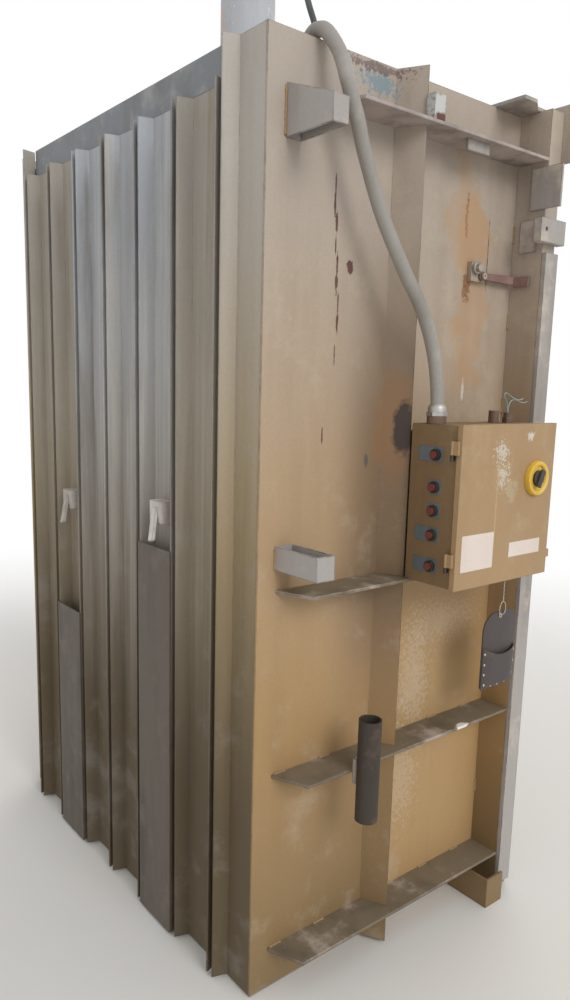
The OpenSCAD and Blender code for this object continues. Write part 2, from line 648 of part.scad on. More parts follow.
// Bale door and its hinges and latch
hinge_x = xs + 20;
hinge_y = yf - door_gap - 30;
door_x0 = -xp - door_lap;
door_x1 = xs - 20;
door_y1 = yf - door_gap;
door_y0 = door_y1 - sheet_t - door_d;
door_top = sill_z - 10;
door_rail = 80;
door_hinge_zs = [300, 700, 1100];
module bale_door() color(tan) {
    block([door_x0, door_y1 - sheet_t, door_z], [door_x1, door_y1, door_top]);
    for (x = [door_x0, door_x1 - stile_w]) block([x, door_y0, door_z], [x + stile_w, door_y1 - sheet_t, door_top]);
    for (i = [0 : 4]) let (z = door_z + i * (door_top - door_rail - door_z) / 4)
        tube_x(door_x0 + stile_w, door_x1 - stile_w, door_y0, door_y1 - sheet_t, z, z + door_rail, tube_t);
}
module door_hinge_lowers() color(steel) for (z = door_hinge_zs) translate([hinge_x, hinge_y, z]) {
    cylinder(h = hinge_len, r = hinge_r, $fn = 64);
    cylinder(h = hinge_len * 2 - 6, r = hinge_pin_r, $fn = 64);
    block([-12, 0, 0], [12, yf - hinge_y, hinge_len]);
}
module door_hinge_uppers() color(steel) for (z = door_hinge_zs) translate([hinge_x, hinge_y, z + hinge_len]) difference() {
    union() {
        cylinder(h = hinge_len, r = hinge_r, $fn = 64);
        block([door_x1 - hinge_x, -12, 0], [0, 12, hinge_len]);
    }
    translate([0, 0, -1]) cylinder(h = hinge_len - 4, r = hinge_pin_r + run_clear, $fn = 64);
}
latch_x = -xs + 8;
latch_z = 740;
latch_y = door_y0 - 18;
module latch_pivot() color(steel) translate([latch_x, 0, latch_z]) {
    rod_y(latch_y + 14.5, yf, 26);
    rod_y(latch_y - 16, yf, 10);
    rod_y(latch_y - 16, latch_y - 0.5, 18);
}
module latch_bar() color(tan) translate([latch_x, latch_y, latch_z]) difference() {
    union() {
        rod_y(0, 14, 25);
        block([-25, 0, -330], [25, 14, 0]);
        translate([0, 0, -270]) rod_y(-20, 14, 24);
    }
    rod_y(-1, 15, 10 + run_clear);
    translate([0, 0, -270]) rod_y(-21, 15, 12 + run_clear);
}
module latch_screw() color(steel) translate([latch_x, latch_y, latch_z - 270]) {
    rod_y(-70, 15, 12);
    translate([0, -55, -90]) cylinder(h = 180, r = 8, $fn = 32);
}

// Feed gate and its rails
gate_y0 = yf - 45;
rail_x = xp + 75;
module gate_rails() color(tan) both_sides() {
    difference() {
        block([-rail_x, yf - 52, sill_z + 5], [-xp - 12, yf, body_h]);
        block([-rail_x + 6, yf - 46, sill_z + sill_h], [-xp - 11, yf - 6, body_h + 1]);
    }
}
gate_z = sill_z + sill_h + 0.3;
gate_top = header_z + 15;
gate_x = rail_x - 9;
module feed_gate() color(tan) {
    for (x = [-gate_x, gate_x - 50]) block([x, yf - 42, gate_z], [x + 50, yf - 10, gate_top]);
    for (z = [gate_z, gate_top - 50]) block([-gate_x + 50, yf - 42, z], [gate_x - 50, yf - 10, z + 50]);
    for (i = [1 : 11]) block([-gate_x + 50 + i * (2 * gate_x - 100) / 12 - 5, yf - 31, gate_z + 50],
        [-gate_x + 50 + i * (2 * gate_x - 100) / 12 + 5, yf - 21, gate_top - 50]);
    // Handle on the lower rail
    for (x = [-90, 70]) block([x, yf - 92, gate_z + 15], [x + 20, yf - 42, gate_z + 35]);
    block([-90, yf - 112, gate_z + 15], [90, yf - 92, gate_z + 35]);
}

// Bale ejector at the foot of the back wall
flap_y = yi - 32;
flap_z = strip_z + 14;
flap_h = 600;
lug_x = slot_pitch * 1.5;
module ejector_lugs() color(grey) for (x = [-lug_x, lug_x]) difference() {
    union() {
        block([x - 6, flap_y - 12, strip_z], [x + 6, flap_y + 12, flap_z]);
        translate([0, flap_y, flap_z]) rod_x(x - 6, x + 6, 12);
    }
    translate([0, flap_y, flap_z]) rod_x(x - 7, x + 7, 6 + run_clear);
}
module ejector_flap() color(grey) {
    for (s = [-1, 1]) translate([0, flap_y, flap_z]) {
        rod_x(s * lug_x - 36, s * lug_x + 36, 6);
        for (x = [s * lug_x - 36, s * lug_x + 8]) rod_x(x, x + 28, 12);
        for (x = [s * lug_x - 36, s * lug_x + 8]) block([x, 4, -2], [x + 28, 14, 14]);
    }
    block([-lug_x - 200, flap_y + 13, strip_z + 3], [lug_x + 200, flap_y + 25, strip_z + flap_h]);
}

base_frame();
floor_plate();
floor_strips();
back_pans();
back_band();
chain_guards();
chain_hooks();
side_skin_left();
side_skin_right();
side_liners();
side_ribs();
front_posts();
side_tabs();
front_feet();
front_sills();
front_header();
top_deck();
deck_beams();
side_stubs();
pipe_holder();
gate_rails();
door_hinge_lowers();
latch_pivot();
cylinder_head();
cylinder_barrel();
cylinder_cap();
cylinder_bolts();
oil_tank();
pump_motor();
valve_block();
cap_hose();
box_body();
box_hinges();
button_bezels();
legend_plates();
conduit();
box_fittings();
lever_bracket();
ejector_lugs();
bale_door();
door_hinge_uppers();
latch_bar();
latch_screw();
feed_gate();
platen();
ram_rod();
ram_piston();
box_door();
door_labels();
disconnect_ring();
disconnect_handle();
button_1();
button_2();
button_3();
button_4();
button_5();
swing_lever();
sheath_hanger();
sheath();
ejector_flap();
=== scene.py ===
import math

import bmesh
import bpy
from mathutils import Matrix, Vector


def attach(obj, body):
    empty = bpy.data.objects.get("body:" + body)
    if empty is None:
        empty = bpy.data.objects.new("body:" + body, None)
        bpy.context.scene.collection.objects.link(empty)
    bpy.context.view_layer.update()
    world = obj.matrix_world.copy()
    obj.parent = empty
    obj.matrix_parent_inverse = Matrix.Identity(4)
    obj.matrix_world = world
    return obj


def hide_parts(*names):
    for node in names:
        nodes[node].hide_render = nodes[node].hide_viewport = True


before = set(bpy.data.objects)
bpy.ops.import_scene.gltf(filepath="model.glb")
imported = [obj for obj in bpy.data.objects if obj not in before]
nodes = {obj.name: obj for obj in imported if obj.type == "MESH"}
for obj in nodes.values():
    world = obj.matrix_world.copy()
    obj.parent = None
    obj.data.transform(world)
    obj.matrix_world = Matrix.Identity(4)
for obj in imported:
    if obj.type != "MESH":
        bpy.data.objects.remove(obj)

scene = bpy.context.scene
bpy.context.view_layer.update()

# Camera: it stands off the left rear corner at eye height, 1.8 m from the nearest
# steel, and looks slightly down through a moderately wide lens.
camera = bpy.data.objects.new("camera", bpy.data.cameras.new("camera"))
scene.collection.objects.link(camera)
scene.camera = camera
camera_right = Vector((-0.61817, -0.78571, 0.02285))
camera_up = Vector((0.14388, -0.08452, 0.98598))
camera_back = Vector((-0.77276, 0.61279, 0.16530))
camera_place = Matrix.Translation((-2.1768, 1.6061, 1.6206))
turn = Matrix((camera_right, camera_up, camera_back)).transposed().to_4x4()
camera.matrix_world = camera_place @ turn
camera.data.sensor_width = 36
camera.data.lens = 27.963
camera.data.shift_x = 0.01211
camera.data.shift_y = 0.01487
camera.data.clip_start = 0.05


# Conduit: grey plastic skin over a flexible metal core, run from the top of the
# control box over the wall into the deck. It is held by a gland at each end.
def rgb(r, g, b):
    """A colour as it is read off a paint chart, made linear."""
    return [((c / 255 + 0.055) / 1.055) ** 2.4 for c in (r, g, b)] + [1.0]


def put(tree, kind, inputs=(), **settings):
    """Adds a node, with sockets linked where a value is a socket."""
    node = tree.nodes.new("ShaderNode" + kind)
    for key, value in settings.items():
        setattr(node, key, value)
    for key, value in inputs.items() if isinstance(inputs, dict) else enumerate(inputs):
        if isinstance(value, bpy.types.NodeSocket):
            tree.links.new(value, node.inputs[key])
        else:
            node.inputs[key].default_value = value
    return node


def calc(tree, operation, *values):
    return put(tree, "Math", values, operation=operation).outputs[0]


def fade(tree, value, low, high, start=0.0, end=1.0):
    """A soft step of value from low to high."""
    return put(tree, "MapRange", [value, low, high, start, end], interpolation_type="SMOOTHSTEP").outputs[0]


def over(tree, mask, under, top, mode="MIX"):
    """One colour laid over another through a mask."""
    return put(tree, "Mix", {0: mask, 6: under, 7: top}, data_type="RGBA", blend_type=mode).outputs[2]


def cloud(tree, coords, scale, detail, roughness=0.6):
    """Noise, whose values lie round one half."""
    look = {"Vector": coords, "Scale": scale, "Detail": detail, "Roughness": roughness}
    return put(tree, "TexNoise", look).outputs[0]


def stretched(tree, coords, x, y, z):
    return put(tree, "VectorMath", [coords, (x, y, z)], operation="MULTIPLY").outputs[0]


def group(name, inputs, outputs):
    """An empty shader group with its named sockets: tree, what comes in, what goes out."""
    tree = bpy.data.node_groups.new(name, "ShaderNodeTree")
    for label, kind, value in inputs:
        socket = tree.interface.new_socket(label, in_out="INPUT", socket_type="NodeSocket" + kind)
        if value is not None:
            socket.default_value = value
    for label, kind in outputs:
        tree.interface.new_socket(label, in_out="OUTPUT", socket_type="NodeSocket" + kind)
    return tree, tree.nodes.new("NodeGroupInput").outputs, tree.nodes.new("NodeGroupOutput").inputs


# Weathering shared by every surface of the machine: slow changes of tone, dirt
# that runs down, chalky patches, ragged chips and rubbed edges.
weather, given, result = group("weather", [
    ("Coords", "Vector", None), ("Coat", "Color", (0.5, 0.5, 0.5, 1)), ("Dirt", "Color", (0.1, 0.1, 0.1, 1)),
    ("Chalk", "Color", (0.6, 0.6, 0.6, 1)), ("Bare", "Color", (0.1, 0.05, 0.03, 1)),
    ("Dirtiness", "Float", 0.5), ("Chalkiness", "Float", 0.4), ("Chips", "Float", 0.5),
    ("Rubbing", "Float", 0.5), ("Edge", "Float", 0.004), ("Shine", "Float", 0.5)],
    [("Color", "Color"), ("Roughness", "Float"), ("Height", "Float"), ("Normal", "Vector")])
slow = cloud(weather, given["Coords"], 1.7, 3.0)
patch = cloud(weather, given["Coords"], 8.0, 6.0, 0.65)
grain = cloud(weather, given["Coords"], 140.0, 3.0, 0.7)
runs = cloud(weather, stretched(weather, given["Coords"], 11.0, 11.0, 1.1), 1.0, 4.0, 0.55)
flakes = cloud(weather, given["Coords"], 26.0, 8.0, 0.72)

tone = calc(weather, "ADD", calc(weather, "MULTIPLY", runs, 0.6), calc(weather, "MULTIPLY", slow, 0.4))
dirt_mask = calc(weather, "MULTIPLY", fade(weather, tone, 0.44, 0.74), given["Dirtiness"])
chalky = calc(weather, "ADD", patch, calc(weather, "MULTIPLY", slow, 0.5))
chalk_mask = calc(weather, "MULTIPLY", fade(weather, chalky, 0.76, 0.98), given["Chalkiness"])
chip_level = calc(weather, "MULTIPLY_ADD", given["Chips"], -0.12, 0.78)
chip_mask = fade(weather, calc(weather, "SUBTRACT", flakes, chip_level), 0.0, 0.018)

rounded = put(weather, "Bevel", {"Radius": given["Edge"]}, samples=4).outputs[0]
straight = put(weather, "NewGeometry").outputs["Normal"]
alike = put(weather, "VectorMath", [rounded, straight], operation="DOT_PRODUCT").outputs["Value"]
near_edge = fade(weather, calc(weather, "SUBTRACT", 1.0, alike), 0.02, 0.16)
rubbed = calc(weather, "ADD", patch, calc(weather, "MULTIPLY", flakes, 0.7))
edge_mask = calc(weather, "MULTIPLY", near_edge, fade(weather, rubbed, 0.78, 1.0))
edge_mask = calc(weather, "MULTIPLY", edge_mask, given["Rubbing"])
worn = calc(weather, "MAXIMUM", chip_mask, edge_mask)

colour = over(weather, dirt_mask, given["Coat"], given["Dirt"])
colour = over(weather, chalk_mask, colour, given["Chalk"])
colour = over(weather, worn, colour, given["Bare"])
speck = fade(weather, grain, 0.2, 0.8, 0.95, 1.04)
speckled = put(weather, "CombineColor", [speck, speck, speck]).outputs[0]
weather.links.new(over(weather, 1.0, colour, speckled, "MULTIPLY"), result["Color"])
gloss = calc(weather, "MULTIPLY", given["Shine"], 0.4)
roughness = calc(weather, "SUBTRACT", calc(weather, "MULTIPLY_ADD", patch, 0.35, 0.62), gloss)
weather.links.new(calc(weather, "MULTIPLY_ADD", worn, 0.25, roughness), result["Roughness"])
height = calc(weather, "MULTIPLY_ADD", patch, 0.5, calc(weather, "MULTIPLY", grain, 0.16))
weather.links.new(calc(weather, "MULTIPLY_ADD", worn, -0.5, height), result["Height"])
weather.links.new(rounded, result["Normal"])

# One mark of its own place and size, with a ragged outline.
mark, given, result = group("mark", [
    ("Coords", "Vector", None), ("Centre", "Vector", None), ("Size", "Vector", (0.1, 0.1, 0.1)),
    ("Ragged", "Float", 1.0), ("Grain", "Float", 38.0), ("Strength", "Float", 1.0)], [("Mask", "Float")])
away = put(mark, "VectorMath", [given["Coords"], given["Centre"]], operation="SUBTRACT").outputs[0]
away = put(mark, "VectorMath", [away, given["Size"]], operation="DIVIDE").outputs[0]
reach = put(mark, "VectorMath", [away], operation="LENGTH").outputs["Value"]
rag = calc(mark, "SUBTRACT", cloud(mark, given["Coords"], given["Grain"], 6.0, 0.7), 0.5)
ragged_reach = calc(mark, "MULTIPLY_ADD", rag, given["Ragged"], reach)
mark.links.new(calc(mark, "MULTIPLY", fade(mark, ragged_reach, 1.05, 0.7), given["Strength"]), result["Mask"])


def coated(name, coat, dirt, chalk, bare, dirtiness, chalkiness, chips, rubbing, edge, shine,
           metallic=0.0, relief=0.6, tint=None, marks=()):
    """A weathered material. The four colours are read off a paint chart, tint changes the
    coat over the piece, edge is in metres, and the other values go from 0 to about 1. A mark
    is its centre, size, colour, raggedness, fineness of the rag, and strength."""
    material = bpy.data.materials.new(name)
    material.use_nodes = True
    tree = material.node_tree
    shader = tree.nodes["Principled BSDF"]
    coords = put(tree, "TexCoord").outputs["Object"]
    worn_coat = put(tree, "Group", {
        "Coords": coords, "Coat": tint(tree, coords, rgb(*coat)) if tint else rgb(*coat), "Dirt": rgb(*dirt),
        "Chalk": rgb(*chalk), "Bare": rgb(*bare), "Dirtiness": dirtiness, "Chalkiness": chalkiness,
        "Chips": chips, "Rubbing": rubbing, "Edge": edge, "Shine": shine}, node_tree=weather).outputs
    colour = worn_coat["Color"]
    for centre, size, mark_colour, ragged, fineness, strength in marks:
        spot = put(tree, "Group", {"Coords": coords, "Centre": centre, "Size": size, "Ragged": ragged,
                                   "Grain": fineness, "Strength": strength}, node_tree=mark).outputs[0]
        colour = over(tree, spot, colour, rgb(*mark_colour))
    bump = put(tree, "Bump", {"Height": worn_coat["Height"], "Normal": worn_coat["Normal"],
                              "Strength": relief, "Distance": 0.0015})
    tree.links.new(colour, shader.inputs["Base Color"])
    tree.links.new(worn_coat["Roughness"], shader.inputs["Roughness"])
    tree.links.new(bump.outputs[0], shader.inputs["Normal"])
    shader.inputs["Metallic"].default_value = metallic
    return material


def curve_point(p, i, t):
    """A point between points i and i + 1 of a smooth line through all of them."""
    a, b, c, d = (Vector(p[k]) for k in (max(i - 1, 0), i, i + 1, min(i + 2, len(p) - 1)))
    bend, twist = 2 * a - 5 * b + 4 * c - d, 3 * b - a - 3 * c + d
    return 0.5 * (2 * b + (c - a) * t + bend * t * t + twist * t ** 3)


def smooth_route(points, steps):
    """The smooth line through chosen points in millimetres, as points in metres."""
    line = [curve_point(points, i, j / steps) for i in range(len(points) - 1) for j in range(steps)]
    return [p / 1000 for p in line + [Vector(points[-1])]]


def tube(name, lines, radius, material, body, sides, swell=None):
    """A round bar or bead along one or more lines of points; swell is its thickness by point."""
    curve = bpy.data.curves.new(name, "CURVE")
    curve.dimensions = "3D"
    curve.bevel_depth = radius
    curve.bevel_resolution = sides
    curve.use_fill_caps = True
    for line in lines:
        spline = curve.splines.new("POLY")
        spline.points.add(len(line) - 1)
        for k, (point, where) in enumerate(zip(spline.points, line)):
            point.co = (*where, 1)
            point.radius = swell(k) if swell else 1.0
        spline.use_smooth = True
    obj = bpy.data.objects.new(name, curve)
    scene.collection.objects.link(obj)
    curve.materials.append(material)
    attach(obj, body)
    return obj


conduit_skin = coated(
    "conduit skin", coat=(152, 147, 140), dirt=(104, 98, 88), chalk=(186, 182, 174), bare=(84, 80, 74),
    dirtiness=0.7, chalkiness=0.5, chips=0.1, rubbing=0.3, edge=0.002, shine=0.55)
conduit_line = smooth_route([
    (-860, 33, 1551), (-860, 33, 1560), (-860, 33, 1570), (-860, 36, 1605), (-860, 42, 1644),
    (-858, 50, 1688), (-855, 62, 1731), (-851, 78, 1774), (-846, 98, 1816), (-840, 118, 1852),
    (-835, 136, 1878), (-827, 166, 1929), (-818, 193, 1980), (-813, 220, 2029), (-811, 244, 2077),
    (-810, 266, 2124), (-809, 286, 2170), (-808, 301, 2216), (-806, 312, 2243), (-804, 324, 2273),
    (-799, 331, 2300), (-790, 336, 2333), (-777, 339, 2362), (-754, 341, 2394), (-735, 343, 2414),
    (-718, 344, 2421), (-695, 342, 2424), (-668, 336, 2415), (-648, 331, 2398), (-640, 330, 2386),
    (-640, 330, 2378), (-640, 330, 2370)], 3)
conduit = tube("box_conduit", [conduit_line], 0.017, conduit_skin, "frame", sides=6)
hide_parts("conduit")


# Pressure hose: black rubber from the valve block up to the cap of the cylinder,
# with a crimped steel sleeve at each end. It stands up by its own stiffness.
hose_rubber = coated(
    "hose rubber", coat=(62, 66, 72), dirt=(96, 92, 86), chalk=(120, 122, 124), bare=(40, 40, 42),
    dirtiness=0.6, chalkiness=0.5, chips=0.1, rubbing=0.2, edge=0.002, shine=0.35)
hose_line = smooth_route([
    (-545, 197, 2415), (-545, 197, 2423), (-545, 197, 2431), (-542, 197, 2470), (-534, 197, 2510),
    (-520, 197, 2545), (-495, 197, 2600), (-455, 190, 2700), (-390, 165, 2880), (-310, 130, 3130),
    (-245, 95, 3380), (-205, 65, 3600), (-182, 42, 3760), (-163, 31, 3825), (-146, 27.5, 3845),
    (-130, 27.5, 3847), (-123, 27.5, 3847), (-116, 27.5, 3847)], 4)
hose = tube("pressure_hose", [hose_line], 0.008, hose_rubber, "frame", sides=5)
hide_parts("cap_hose")


def bar(bm, low, high, edge, segments=2, spin=None):
    """A block between two corners with its edges broken; spin turns it about its middle."""
    low, high = Vector(low), Vector(high)
    place = Matrix.Translation((low + high) / 2) @ (spin or Matrix()) @ Matrix.Diagonal((*(high - low), 1))
    made = bmesh.ops.create_cube(bm, size=1.0, matrix=place)
    edges = list({e for v in made["verts"] for e in v.link_edges})
    bmesh.ops.bevel(bm, geom=edges, offset=edge, offset_type="OFFSET", affect="EDGES", segments=segments,
                    profile=0.5, material=-1)


def lathe(bm, profile, centre, axis, steps=32):
    """A solid turned about an axis from (distance along it, radius) points."""
    axis = Vector(axis).normalized()
    side = axis.orthogonal().normalized()
    verts = [bm.verts.new(Vector(centre) + axis * a + side * r) for a, r in profile]
    edges = [bm.edges.new(pair) for pair in zip(verts, verts[1:])]
    bmesh.ops.spin(bm, geom=verts + edges, cent=centre, axis=axis, angle=math.tau, steps=steps,
                   use_merge=True)


def piece(name, bm, material, body, slot, *replaced):
    """Closes a mesh's seams, smooths its shallow angles and hangs it on its body."""
    bmesh.ops.remove_doubles(bm, verts=bm.verts, dist=1e-5)
    bmesh.ops.recalc_face_normals(bm, faces=bm.faces)
    mesh = bpy.data.meshes.new(name)
    bm.to_mesh(mesh)
    bm.free()
    mesh.polygons.foreach_set("use_smooth", [True] * len(mesh.polygons))
    mesh.set_sharp_from_angle(angle=math.radians(38))
    obj = bpy.data.objects.new(name, mesh)
    scene.collection.objects.link(obj)
    mesh.materials.append(material)
    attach(obj, body)
    if replaced:
        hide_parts(*replaced)
    return obj


bright_steel = coated(
    "bright steel", coat=(178, 176, 172), dirt=(120, 108, 94), chalk=(196, 194, 190), bare=(108, 72, 52),
    dirtiness=0.5, chalkiness=0.3, chips=0.25, rubbing=0.4, edge=0.002, shine=0.75, metallic=0.85, relief=0.4)
bm = bmesh.new()
sleeve = [(0, 0.0085), (0, 0.0125), (0.004, 0.0135), (0.008, 0.0125), (0.012, 0.0135), (0.016, 0.0125),
          (0.020, 0.0135), (0.024, 0.0125), (0.030, 0.012), (0.032, 0.0085)]
lathe(bm, sleeve, (-0.545, 0.197, 2.4155), (0, 0, 1))
lathe(bm, sleeve, (-0.1165, 0.0275, 3.847), (-1, 0, 0))
piece("hose_sleeves", bm, bright_steel, "frame", "bare_steel")

# Cut wire ends: two short strands of stiff pale blue wire that stick out of the
# brown fitting on the box, bent over where they were cut off.
wire_blue = coated(
    "pale blue wire", coat=(142, 178, 174), dirt=(110, 124, 118), chalk=(188, 206, 200), bare=(160, 120, 90),
    dirtiness=0.5, chalkiness=0.5, chips=0.2, rubbing=0.2, edge=0.001, shine=0.5)
wire_routes = {
    "cut_wire_1": [(-870, -254, 1559.5), (-870, -252, 1575), (-871, -243, 1592), (-872, -232, 1604),
                   (-873, -236, 1613), (-874, -252, 1607), (-875, -274, 1598), (-876, -296, 1594),
                   (-877, -312, 1598)],
    "cut_wire_2": [(-868, -259, 1559.5), (-868, -260, 1574), (-868, -266, 1588), (-869, -280, 1594),
                   (-870, -300, 1591), (-872, -322, 1586), (-873, -338, 1590)]}
for name, route in wire_routes.items():
    strand = smooth_route(route, 4)
    wire = tube(name, [strand], 0.0012, wire_blue, "frame", sides=2)

# Glands of the conduit: a hexagon nut and a domed ring that grip its skin, in
# zinc-plated steel, one on the box and one on the deck.
gland_nut = [(0, 0.0172), (0, 0.0265), (0.010, 0.0265), (0.010, 0.0172)]
gland_dome = [(0.010, 0.0172), (0.010, 0.0235), (0.020, 0.0235), (0.026, 0.0215), (0.030, 0.0172)]
bm = bmesh.new()
for foot in ((-0.860, 0.033, 1.551), (-0.640, 0.330, 2.370)):
    lathe(bm, gland_nut, foot, (0, 0, 1), 6)
    lathe(bm, gland_dome, foot, (0, 0, 1))
piece("conduit_glands", bm, bright_steel, "frame", "bare_steel")


# Base and floor: a frame of box tube under a ribbed floor plate, whose grooves
# take the tie wires. Bare steel gone grey and brown with use, like the deck and the
# ejector. The liners and the platen are scuffed like the floor.
def coat_nodes(material, *names):
    """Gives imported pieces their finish."""
    for name in names:
        data = nodes[name].data
        if not data.materials:
            data.materials.append(material)
        for place in nodes[name].material_slots:
            place.material = material


worn_grey = coated(
    "worn grey steel", coat=(148, 142, 132), dirt=(92, 82, 70), chalk=(180, 176, 168), bare=(92, 62, 46),
    dirtiness=0.7, chalkiness=0.6, chips=0.6, rubbing=0.7, edge=0.004, shine=0.35)
floor_steel = coated(
    "scuffed floor steel", coat=(138, 134, 128), dirt=(96, 84, 72), chalk=(172, 170, 166), bare=(104, 70, 50),
    dirtiness=0.7, chalkiness=0.7, chips=0.5, rubbing=0.6, edge=0.004, shine=0.55, metallic=0.45)
coat_nodes(worn_grey, "base_frame", "top_deck", "deck_beams", "ejector_flap", "ejector_lugs")
coat_nodes(floor_steel, "floor_plate", "floor_strips", "side_liners", "platen")


# Back wall: six folded pans between two folded corner strips, with seven gaps for
# the tie wires. Old grey paint, streaked by rain, tan again at the corners. The cool pale
# grey at the top is painted haze of light, and the brown at the foot is dirt and painted shade.
def streaks_haze_and_foot_shade(tree, coords, coat):
    """Rain streaks on grey and tan at both ends of the wall, a cooler paler grey towards the top that is
    painted haze of light, and brown towards the foot that is dirt and painted shade.
    """
    place = put(tree, "SeparateXYZ", [coords]).outputs
    thin = cloud(tree, stretched(tree, coords, 70.0, 16.0, 0.8), 1.0, 6.0, 0.65)
    wide = cloud(tree, stretched(tree, coords, 14.0, 6.0, 0.6), 1.0, 4.0, 0.6)
    rise = calc(tree, "MULTIPLY_ADD", wide, 0.8, place["Z"])
    # Painted haze of light: the coat's cool pale grey towards the top.
    colour = over(tree, fade(tree, rise, 1.3, 2.6), rgb(160, 152, 140), coat)
    colour = over(tree, fade(tree, thin, 0.48, 0.64, 0.0, 0.6), colour, rgb(196, 192, 184))
    colour = over(tree, fade(tree, wide, 0.52, 0.68, 0.0, 0.6), colour, rgb(118, 106, 92))
    aside = calc(tree, "ABSOLUTE", calc(tree, "ADD", place["X"], 0.08))
    colour = over(tree, fade(tree, aside, 0.29, 0.34, 0.0, 0.55), colour, rgb(150, 134, 104))
    aside = calc(tree, "ABSOLUTE", place["X"])
    # Painted haze of light: the corners are paler and greyer towards the top.
    corner = over(tree, fade(tree, rise, 1.5, 2.7), rgb(160, 140, 106), rgb(182, 176, 168))
    colour = over(tree, fade(tree, aside, 0.575, 0.60, 0.0, 0.9), colour, corner)
    # Dirt and painted shade: brown towards the foot.
    return over(tree, fade(tree, rise, 1.95, 0.8, 0.0, 0.95), colour, rgb(88, 74, 52))


# The coat is the cool pale grey at the top of the wall, a painted haze of light.
pan_paint = coated(
    "streaked grey paint with painted haze", coat=(172, 176, 182), dirt=(112, 102, 90), chalk=(170, 166, 160),
    bare=(92, 72, 58), dirtiness=0.4, chalkiness=0.22, chips=0.4, rubbing=0.5, edge=0.005, shine=0.25,
    tint=streaks_haze_and_foot_shade)
coat_nodes(pan_paint, "back_pans")

# Chain guards and hooks: dark worn plates over the lower part of two pans, and above
# each a block with a leaning hook, of paler steel, rough and chipped.
guard_steel = coated(
    "worn guard steel", coat=(98, 90, 81), dirt=(64, 55, 46), chalk=(136, 129, 120), bare=(88, 70, 58),
    dirtiness=0.9, chalkiness=0.35, chips=0.6, rubbing=0.6, edge=0.004, shine=0.3)
hook_steel = coated(
    "rough pale steel", coat=(184, 178, 170), dirt=(120, 108, 98), chalk=(214, 210, 204), bare=(104, 84, 70),
    dirtiness=0.8, chalkiness=0.9, chips=0.9, rubbing=0.7, edge=0.004, shine=0.3, relief=1.0)
coat_nodes(hook_steel, "chain_hooks")
coat_nodes(guard_steel, "chain_guards")

# Side walls, ribs and posts: steel sheet with one vertical fold and flat ribs, all
# sprayed the same tan. The top is greyer, partly bleached by the sun and partly painted
# haze of light; rain and rubbing show below, and the foot is darkened with painted shade.
# The band that joins the back pans at the top is dull grey.
tan = (176, 148, 114)
tan_dirt = (124, 102, 74)
tan_chalk = (192, 178, 158)
bare_rust = (86, 54, 42)


def bleach_haze_and_foot_shade(tree, coords, coat):
    """Grey tan at the top, partly sun bleaching and partly painted haze of light, through ochre, to brown at
    the foot, which is painted shade.
    """
    place = put(tree, "SeparateXYZ", [coords]).outputs
    soft = cloud(tree, coords, 1.1, 3.0, 0.5)
    rise = calc(tree, "MULTIPLY_ADD", soft, 0.6, place["Z"])
    # Painted haze of light, with some sun bleaching: greyer towards the top.
    colour = over(tree, fade(tree, rise, 1.5, 2.5, 0.0, 0.95), coat, rgb(176, 165, 154))
    colour = over(tree, fade(tree, rise, 1.5, 0.9, 0.0, 0.9), colour, rgb(168, 135, 90))
    # Painted shade: brown towards the foot.
    return over(tree, fade(tree, rise, 1.0, 0.35, 0.0, 0.85), colour, rgb(122, 101, 70))


def wall_bleach_haze_and_shade(tree, coords, coat):
    """The wall is darker next to the fold, most of all beside the box, which is painted shade, and ochre low
    in front.
    """
    place = put(tree, "SeparateXYZ", [coords]).outputs
    colour = bleach_haze_and_foot_shade(tree, coords, coat)
    # Painted shade: browner next to the fold, most of all beside the box.
    beside = calc(tree, "MULTIPLY", fade(tree, place["Y"], 0.30, 0.10), fade(tree, place["Y"], 0.02, 0.05))
    level = calc(tree, "MULTIPLY", fade(tree, place["Z"], 2.15, 1.5), fade(tree, place["Z"], 0.6, 1.1))
    fold_shade = calc(tree, "MULTIPLY", calc(tree, "MULTIPLY", beside, level), 0.72)
    colour = over(tree, fold_shade, colour, rgb(108, 88, 68))
    front = calc(tree, "MULTIPLY", fade(tree, place["Y"], 0.02, -0.02), fade(tree, place["Z"], 1.3, 0.9))
    colour = over(tree, calc(tree, "MULTIPLY", front, 0.8), colour, rgb(184, 150, 102))
    # Painted shade: a little darker towards the fold at every height.
    return over(tree, fade(tree, place["Y"], 0.26, 0.04, 0.0, 0.12), colour, rgb(140, 113, 84))


def rib_top_haze(tree, coords, coat):
    """The ribs are paler near the top of the wall, a painted haze of light."""
    rise = put(tree, "SeparateXYZ", [coords]).outputs["Z"]
    return over(tree, fade(tree, rise, 1.5, 2.2), coat, rgb(172, 160, 154))


